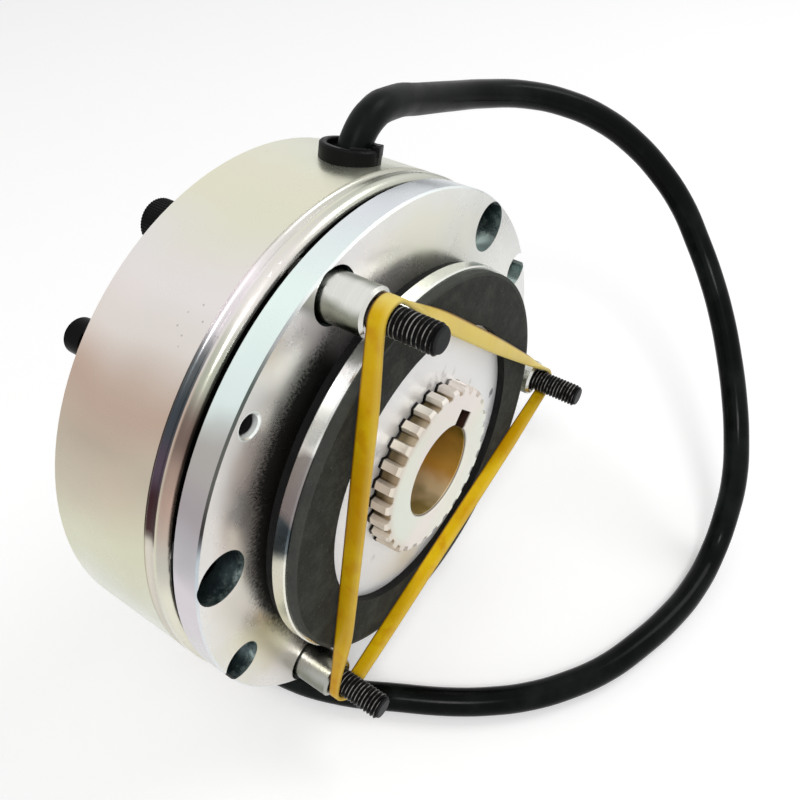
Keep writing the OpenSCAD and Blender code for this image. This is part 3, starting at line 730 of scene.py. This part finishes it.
# Painted shade where a sleeve crosses the gap between the housing and the plate
sleeve_gap_shade = inside(tree, where["Y"], -0.0067, -0.0040, 0.0002)
feed(tree, look["Base Color"], between(tree, sleeve_gap_shade, tint, (0.020, 0.020, 0.018)))
feed(tree, look["Roughness"], uneven(tree, 120.0, 0.22, 0.34))
feed(tree, look["Normal"], raised(tree, turned_rings, 0.15, 0.00005))
for letter in "abc":
    coat(solids["sleeve_" + letter].data, sleeve_steel)

# ----------------------------------------------------------
# Mounting screws
# Three black socket head screws, M8, pass through the housing and the sleeves. The thread
# is rolled with a pitch of 1.25 mm and shows in front of the sleeves.
# ----------------------------------------------------------

# Y of a distance in millimetres in front of the housing's rear face
def front_of(station):
    return rear_face - station / 1000


# Turns a line of (station, radius) in millimetres about the Y axis
def lathe(profile, steps, pitch=0.0):
    made = bmesh.new()
    line = [made.verts.new((radius / 1000, front_of(station), 0)) for station, radius in profile]
    for first, second in zip(line, line[1:]):
        made.edges.new((first, second))
    bmesh.ops.spin(made, geom=made.verts[:] + made.edges[:], cent=(0, 0, 0), axis=(0, 1, 0),
                   dvec=(0, pitch / 1000 / steps, 0), angle=2 * math.pi, steps=steps,
                   use_merge=pitch == 0)
    bmesh.ops.remove_doubles(made, verts=made.verts, dist=1e-6)
    return made


# Closes a shape: its faces smooth, but for edges sharper than an angle
def finish_mesh(made, name, sharp=35.0):
    bmesh.ops.recalc_face_normals(made, faces=made.faces)
    for face in made.faces:
        face.smooth = True
    for edge in made.edges:
        if len(edge.link_faces) == 2:
            edge.smooth = edge.calc_face_angle() < math.radians(sharp)
    return mesh_of(made, name)


# A finished mesh, less another one
def cut_away(mesh, tool_mesh, name):
    whole = add_object("whole", mesh)
    tool = add_object("tool", tool_mesh)
    taken = whole.modifiers.new("taken", "BOOLEAN")
    taken.operation = "DIFFERENCE"
    taken.object = tool
    taken.solver = "EXACT"
    taken.use_self = True
    made = worked_out(whole)
    bpy.data.objects.remove(tool)
    made.name = name
    return made


# The thread is turned past the screw's end and then trimmed to it, with a chamfer
thread_pitch = 1.25
thread_start = 62.0
thread_count = 18
root_r = 3.32
crest_r = 3.96
turns = []
for number in range(thread_count):
    base = thread_start + number * thread_pitch
    turns += [(base, root_r), (base + 0.52, crest_r), (base + 0.68, crest_r)]
turns.append((thread_start + thread_count * thread_pitch, root_r))
thread = lathe(turns, 48, -thread_pitch)
for vertex in thread.verts:
    station = min((rear_face - vertex.co.y) * 1000, 82.95)
    reach = 3.98 - 0.85 * max(0.0, (station - 81.9) / 1.05)
    radius = math.hypot(vertex.co.x, vertex.co.z)
    shrink = min(1.0, reach / 1000 / radius)
    vertex.co = (vertex.co.x * shrink, front_of(station), vertex.co.z * shrink)
bmesh.ops.remove_doubles(thread, verts=thread.verts, dist=2e-6)
bmesh.ops.dissolve_degenerate(thread, edges=thread.edges, dist=2e-6)
bmesh.ops.holes_fill(thread, edges=[e for e in thread.edges if e.is_boundary], sides=0)
bmesh.ops.triangulate(thread, faces=[f for f in thread.faces if len(f.verts) > 4])
join_in(thread, lathe([(60, 0), (60, 3.4), (82.3, 3.4), (83, 2.9), (83, 0)], 48))
join_in(thread, lathe([(0, 0), (0, 4), (61.5, 4), (62.4, 3.4), (62.4, 0)], 48))
# A knurled head with a hexagon socket
head = lathe([(0, 0), (0, 6.1), (-0.4, 6.5), (-7.4, 6.5), (-8, 5.8), (-8, 0)], 96)
for vertex in head.verts:
    if math.hypot(vertex.co.x, vertex.co.z) > 0.0064:
        step = round(math.atan2(vertex.co.z, vertex.co.x) / math.radians(3.75))
        scale = 0.975 if step % 2 else 1.0
        vertex.co.x *= scale
        vertex.co.z *= scale
join_in(thread, head)
screw_mesh = finish_mesh(thread, "mounting_screw")

socket_r = 0.003464
socket_depth = 0.004
head_end = Matrix.Translation((0, front_of(-8), 0)) @ Matrix.Rotation(math.pi / 2, 4, "X")
shape = bmesh.new()
bmesh.ops.create_cone(shape, cap_ends=True, segments=6, radius1=socket_r, radius2=socket_r,
                      depth=2 * socket_depth, matrix=head_end)
cut_mesh = cut_away(screw_mesh, finish_mesh(shape, "socket_tool"), "mounting_screw")
for letter, (across, up) in screw_spots.items():
    mesh = cut_mesh.copy()
    mesh.name = "screw_" + letter
    turn = Matrix.Rotation(math.radians(37.0 * ord(letter)), 4, "Y")
    mesh.transform(Matrix.Translation((across, 0, axis_up + up)) @ turn)
    coat(mesh, black_oxide)
    screw = add_object("screw_" + letter, mesh)
    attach(screw, "magnet")
    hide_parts("mounting_screw_" + letter)

# ----------------------------------------------------------
# Rotor core
# A bright metal disc that slides on the hub's teeth and carries the two linings.
# ----------------------------------------------------------
bright, tree, look = new_finish("bright_core", 0.5, 0.4)
marks = placed(tree, turning, Fineness=900.0)
plain = between(tree, noise(tree, 30.0), (0.92, 0.925, 0.925), (0.98, 0.975, 0.975))
smears = times(tree, spread(tree, noise(tree, 150.0, 5.0), 0.58, 0.72),
               spread(tree, marks["Radius"], 29.5, 36.0, 1.0, 0.0))
tint = between(tree, times(tree, smears, 0.7), plain, (0.42, 0.42, 0.41))
# One dark nick
nick_away = waver(tree, away_from(tree, parts_of(tree), 0.04215, 0.08065), 900.0, 0.0010)
tint = between(tree, spread(tree, nick_away, 0.0010, 0.0019, 0.75, 0.0), tint, (0.10, 0.10, 0.10))
# Painted reflections in patches round the rim: bright at the top, dark slate at the left
edge_reflection = ring_of(tree, waver(tree, marks["Angle"], 60.0, 3.0), (
    (0, (0.50, 0.52, 0.50)), (70, (0.80, 0.82, 0.76)), (121, (0.92, 0.92, 0.90)),
    (129, (0.50, 0.50, 0.48)), (136, (0.84, 0.84, 0.81)), (138, (0.30, 0.28, 0.27)),
    (152, (0.25, 0.22, 0.22)), (155, (0.06, 0.08, 0.09)), (161.5, (0.13, 0.15, 0.16)),
    (165, (0.80, 0.79, 0.70)), (215, (0.84, 0.82, 0.72)), (260, (0.50, 0.50, 0.46)),
))
on_rim = spread(tree, marks["Radius"], 60.5, 60.8)
tint = between(tree, on_rim, tint, edge_reflection)
# Painted shade on the wall of the core's toothed bore
core_bore_shade = times(tree, spread(tree, marks["Radius"], 28.2, 28.6, 1.0, 0.0), marks["Sideways"])
feed(tree, look["Base Color"], between(tree, core_bore_shade, tint, (0.012, 0.011, 0.010)))
feed(tree, look["Metallic"], calc(tree, "MULTIPLY_ADD", on_rim, 0.4, 0.5))
feed(tree, look["Roughness"],
     calc(tree, "MULTIPLY_ADD", on_rim, -0.2, uneven(tree, 90.0, 0.4, 0.52)))
feed(tree, look["Normal"], raised(tree, marks["Height"], 0.08, 0.00004))
coat(solids["rotor_core"].data, bright)

# ----------------------------------------------------------
# Friction linings
# Two rings of dark pressed fibre, bonded to the core's faces, dull and slightly fibrous.
# ----------------------------------------------------------
fibre, tree, look = new_finish("pressed_fibre", 0.0, 0.85)
coarse = noise(tree, 160.0, 6.0, 0.7)
fine = noise(tree, 1400.0, 3.0, 0.7)
marks = placed(tree, turning, Fineness=700.0)
mottle = between(tree, spread(tree, coarse, 0.35, 0.7), (0.013, 0.0145, 0.0115), (0.048, 0.051, 0.043))
tint = between(tree, spread(tree, fine, 0.60, 0.8), mottle, (0.13, 0.13, 0.11))
edge_line = inside(tree, marks["Radius"], 61.2, 62.5, 0.4)
tint = between(tree, times(tree, edge_line, 0.35), tint, (0.10, 0.105, 0.095))
# Painted shade on the linings' inner wall and on the walls of the rear lining
lining_wall_shade = spread(tree, marks["Radius"], 46.05, 46.2, 1.0, 0.0)
rear_wall_shade = times(tree, marks["Sideways"], spread(tree, marks["Station"], 58.0, 58.4, 1.0, 0.0))
lining_wall_shade = calc(tree, "MAXIMUM", lining_wall_shade, rear_wall_shade)
feed(tree, look["Base Color"], between(tree, lining_wall_shade, tint, (0.003, 0.003, 0.003)))
look["Specular IOR Level"].default_value = 0.25
feed(tree, look["Roughness"], spread(tree, coarse, 0.3, 0.7, 0.75, 0.95))
feed(tree, look["Normal"], raised(tree, calc(tree, "ADD", coarse, fine), 0.6, 0.0003))
coat(solids["rear_lining"].data, fibre)
coat(solids["front_lining"].data, fibre)

# ----------------------------------------------------------
# Toothed hub
# Steel, zinc plated cream white on its face and teeth, with a golden brown bore and a
# dark keyway. Its teeth carry the rotor.
# ----------------------------------------------------------
bore_d = 30.0
cream, tree, look = new_finish("plated_hub", 0.65, 0.34)
marks = placed(tree, turning, Fineness=1700.0)
tint = placed(tree, bloom, Base=(0.88, 0.87, 0.76), Warm=(0.90, 0.83, 0.78),
              Cool=(0.84, 0.88, 0.78), Size=32.0)["Color"]
warm_side = times(tree, spread(tree, marks["Radius"], 23.0, 26.5),
                  inside(tree, marks["Angle"], 110.0, 215.0, 20.0))
tint = between(tree, times(tree, warm_side, 0.55), tint, (0.76, 0.62, 0.52))
below_face = spread(tree, marks["Station"], 68.6, 69.1, 1.0, 0.0)
# Painted shade at the left on the olive floors of the gaps between the teeth, darker further in, and a
# painted dark line of shade where the teeth pass into the core
tooth_gap_shade = times(tree, inside(tree, marks["Radius"], 24.0, 26.0, 0.5),
                  inside(tree, marks["Angle"], 66.0, 235.0, 12.0))
olive_gap_shade = between(tree, noise(tree, 180.0), (0.070, 0.048, 0.018), (0.20, 0.15, 0.075))
olive_gap_shade = between(tree, spread(tree, marks["Station"], 65.0, 68.4, 0.0, 0.8), olive_gap_shade, (0.62, 0.50, 0.36))
tint = between(tree, times(tree, below_face, tooth_gap_shade), tint, olive_gap_shade)
core_edge_shade = times(tree, inside(tree, marks["Station"], 55.0, 63.2, 0.3),
               spread(tree, marks["Radius"], 23.5, 24.0))
core_edge_shade = times(tree, core_edge_shade, inside(tree, marks["Angle"], 64.0, 250.0, 10.0))
tint = between(tree, core_edge_shade, tint, (0.006, 0.005, 0.004))
# The golden bore, with painted light and shade: it goes from dark gold over a bright gold painted
# highlight and amber to dark, from its lower left up
along = waver(tree, up_right(tree, parts_of(tree)), 90.0, 5.0)
bore_share = calc(tree, "MULTIPLY_ADD", along, 1 / bore_d, 0.5)
bore_gold_and_light = between(tree, spread(tree, bore_share, 0.02, 0.30), (0.34, 0.27, 0.09), (1.0, 0.78, 0.47))
bore_gold_and_light = between(tree, spread(tree, bore_share, 0.36, 0.60), bore_gold_and_light, (0.66, 0.37, 0.07))
bore_gold_and_light = between(tree, spread(tree, bore_share, 0.70, 0.95), bore_gold_and_light, (0.19, 0.145, 0.016))
in_bore = spread(tree, marks["Radius"], 15.05, 15.2, 1.0, 0.0)
tint = between(tree, in_bore, tint, bore_gold_and_light)
in_keyway = times(tree, inside(tree, marks["Radius"], 15.2, 20.8, 0.1), below_face)
feed(tree, look["Base Color"], between(tree, in_keyway, tint, (0.060, 0.027, 0.018)))
feed(tree, look["Roughness"], uneven(tree, 110.0, 0.28, 0.42))
feed(tree, look["Normal"], raised(tree, marks["Height"], 0.10, 0.00005))
coat(solids["hub"].data, cream)

# ----------------------------------------------------------
# Cable gland
# A black moulded collar on the housing's side with the cable through its middle.
# ----------------------------------------------------------
moulded, tree, look = new_finish("moulded_collar", 0.0, 0.32)
look["IOR"].default_value = 1.18
feed(tree, look["Base Color"],
     between(tree, noise(tree, 150.0), (0.002, 0.0022, 0.002), (0.007, 0.008, 0.007)))
feed(tree, look["Roughness"], uneven(tree, 260.0, 0.3, 0.5))
feed(tree, look["Normal"], raised(tree, noise(tree, 1900.0, 2.0), 0.2, 0.0001))

gland_y = 0.0145
gland_lean = Matrix.Rotation(math.radians(15.5), 4, "Y")
gland_frame = Matrix.Translation((0, gland_y, axis_up)) @ gland_lean
collar = bmesh.new()
outline = [(4.8, 62), (6.5, 62), (6.5, 82.3), (8.8, 82.3), (8.8, 86.5), (8.35, 87), (7.1, 87),
           (6.75, 86.7), (6.6, 85.3), (5.2, 85.1), (4.8, 84.6)]
ring = [collar.verts.new((radius / 1000, 0, height / 1000)) for radius, height in outline]
for first, second in zip(ring, ring[1:] + ring[:1]):
    collar.edges.new((first, second))
bmesh.ops.spin(collar, geom=collar.verts[:] + collar.edges[:], cent=(0, 0, 0), axis=(0, 0, 1),
               dvec=(0, 0, 0), angle=2 * math.pi, steps=96, use_merge=True)
bmesh.ops.remove_doubles(collar, verts=collar.verts, dist=1e-6)
# The tab and two small lugs on the lip
for turned, length, width, low, high in (
    (-70.0, 2.3, 4.4, 84.8, 88.0), (-128.0, 1.1, 4.6, 85.0, 87.7), (-104.0, 0.9, 1.6, 85.0, 87.5),
):
    spot = Matrix.Translation((0.0076, 0, (low + high) / 2000))
    add_block(collar, (length / 1000, width / 1000, (high - low) / 1000), 0.0003,
              Matrix.Rotation(math.radians(turned), 4, "Z") @ spot)
bmesh.ops.transform(collar, verts=collar.verts, matrix=gland_frame)
collar_mesh = finish_mesh(collar, "gland_collar")

# The cable lies in a slot through the collar's lip, and two thin slots part the tab from it
slots = bmesh.new()
slots.from_mesh(worked_out(round_cord("lie", cable_line[:6], cable_d + 0.0002)))
for turned in (-52.0, -88.0):
    spot = Matrix.Rotation(math.radians(turned), 4, "Z") @ Matrix.Translation((0.0078, 0, 0.0869))
    add_block(slots, (0.0045, 0.0007, 0.0030), 0.0, gland_frame @ spot)
collar_mesh = cut_away(collar_mesh, finish_mesh(slots, "gland_slots"), "gland_collar")
coat(collar_mesh, moulded)
collar = add_object("gland_collar", collar_mesh)
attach(collar, "magnet")
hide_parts("cable_gland")

# ----------------------------------------------------------
# Elastic band
# An endless flat band of amber rubber, stretched round the three screws to hold them. It is
# drawn in where it passes a screw and turns its flat side to the front between two of them.
# ----------------------------------------------------------
band_t = 1.3
band_back = 65.75
screw_reach = 4.25
band_stops = []
letters = "abc"
arrives_w = {"a": 4.8, "b": 3.0, "c": 4.8}
leaves_w = {"a": 4.8, "b": 4.4, "c": 3.1}
run_w = {"a": 5.3, "b": 5.1, "c": 5.9}
for number, letter in enumerate(letters):
    here = Vector(screw_spots[letter]) * 1000
    there = Vector(screw_spots[letters[(number + 1) % 3]]) * 1000
    out_here = screw_angles[letter] - 60
    for step in range(-6, 7):
        share = (step + 6) / 12
        width = arrives_w[letter] + (leaves_w[letter] - arrives_w[letter]) * ease(share)
        band_stops.append((here, out_here + 60 - 10 * step, width, band_back, 0.0))
    next_w = arrives_w[letters[(number + 1) % 3]]
    for step in range(1, 32):
        share = step / 32
        free = ease((min(share, 1 - share) - 0.05) / 0.14)
        width = leaves_w[letter] + (run_w[letter] - leaves_w[letter]) * ease(share / 0.24)
        if letter == "a":
            width += (next_w - width) * ease((share - 0.45) / 0.5)
            twist = 78.0 * min(ease((share - 0.02) / 0.28), ease((0.99 - share) / 0.22))
        else:
            width += (next_w - width) * ease((share - 0.8) / 0.2)
            twist = 0.0
        back = band_back - 0.1 * free
        band_stops.append((here + (there - here) * share, out_here, width, back, twist))

# The strip's section, laid along the stops
around = [(-1, -0.86), (-0.72, -1), (0, -1), (0.72, -1), (1, -0.86),
          (1, 0.86), (0.72, 1), (0, 1), (-0.72, 1), (-1, 0.86)]
band = bmesh.new()
strip = band.loops.layers.uv.new("UVMap")
bmesh.ops.create_grid(band, x_segments=len(band_stops), y_segments=len(around), size=0.5, calc_uvs=True)
for face in band.faces:
    for loop in face.loops:
        across = around[round((loop.vert.co.y + 0.5) * len(around)) % len(around)][1]
        loop[strip].uv = (loop.vert.co.x + 0.5, 0.5 + across / 2)
for vertex in band.verts:
    spot, outwards, width, back, twist = band_stops[
        round((vertex.co.x + 0.5) * len(band_stops)) % len(band_stops)]
    over, across = around[round((vertex.co.y + 0.5) * len(around)) % len(around)]
    over *= band_t / 2
    across *= width / 2
    turn = math.radians(twist)
    reach = screw_reach + band_t / 2 + over * math.cos(turn) - across * math.sin(turn)
    along = back + width / 2 + across * math.cos(turn) + over * math.sin(turn)
    vertex.co = ((spot.x + reach * math.cos(math.radians(outwards))) / 1000, front_of(along),
                 axis_up + (spot.y + reach * math.sin(math.radians(outwards))) / 1000)
bmesh.ops.remove_doubles(band, verts=band.verts, dist=1e-6)
band = add_object("rubber_band", finish_mesh(band, "rubber_band", 80.0))

amber, tree, look = new_finish("amber_rubber", 0.0, 0.36)
look["Specular IOR Level"].default_value = 0.16
unrolled = tree.nodes.new("ShaderNodeUVMap")
unrolled.uv_map = "UVMap"
strip_place = parts_of(tree, unrolled.outputs["UV"])
tint = between(tree, spread(tree, noise(tree, 45.0), 0.35, 0.65),
               (0.64, 0.34, 0.001), (0.76, 0.50, 0.004))
streaks = spread(tree, noise(tree, 150.0, 3.0), 0.52, 0.70, 0.0, 0.55)
tint = between(tree, streaks, tint, (0.60, 0.25, 0.001))
# Painted light along one edge of the strip
tint = between(tree, spread(tree, strip_place["Y"], 0.62, 0.97, 0.0, 0.35), tint, (0.80, 0.60, 0.14))
# Painted sheen on the twisted run from the first screw to the second
twisted_run_sheen = inside(tree, strip_place["X"], 0.06, 0.33, 0.04)
tint = between(tree, times(tree, twisted_run_sheen, 0.7), tint, (0.86, 0.70, 0.20))
# Painted shade along the other edge of the strip
tint = between(tree, spread(tree, strip_place["Y"], 0.03, 0.16, 0.85, 0.0), tint, (0.17, 0.055, 0.004))
feed(tree, look["Base Color"], tint)
feed(tree, look["Roughness"], uneven(tree, 160.0, 0.3, 0.46))
feed(tree, look["Normal"], raised(tree, noise(tree, 420.0, 2.0), 0.25, 0.0002))
coat(band.data, amber)
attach(band, "magnet")
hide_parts("elastic_band")

# ----------------------------------------------------------
# Colours
# Colours come out as they are.
# ----------------------------------------------------------
scene.view_settings.view_transform = "Standard"
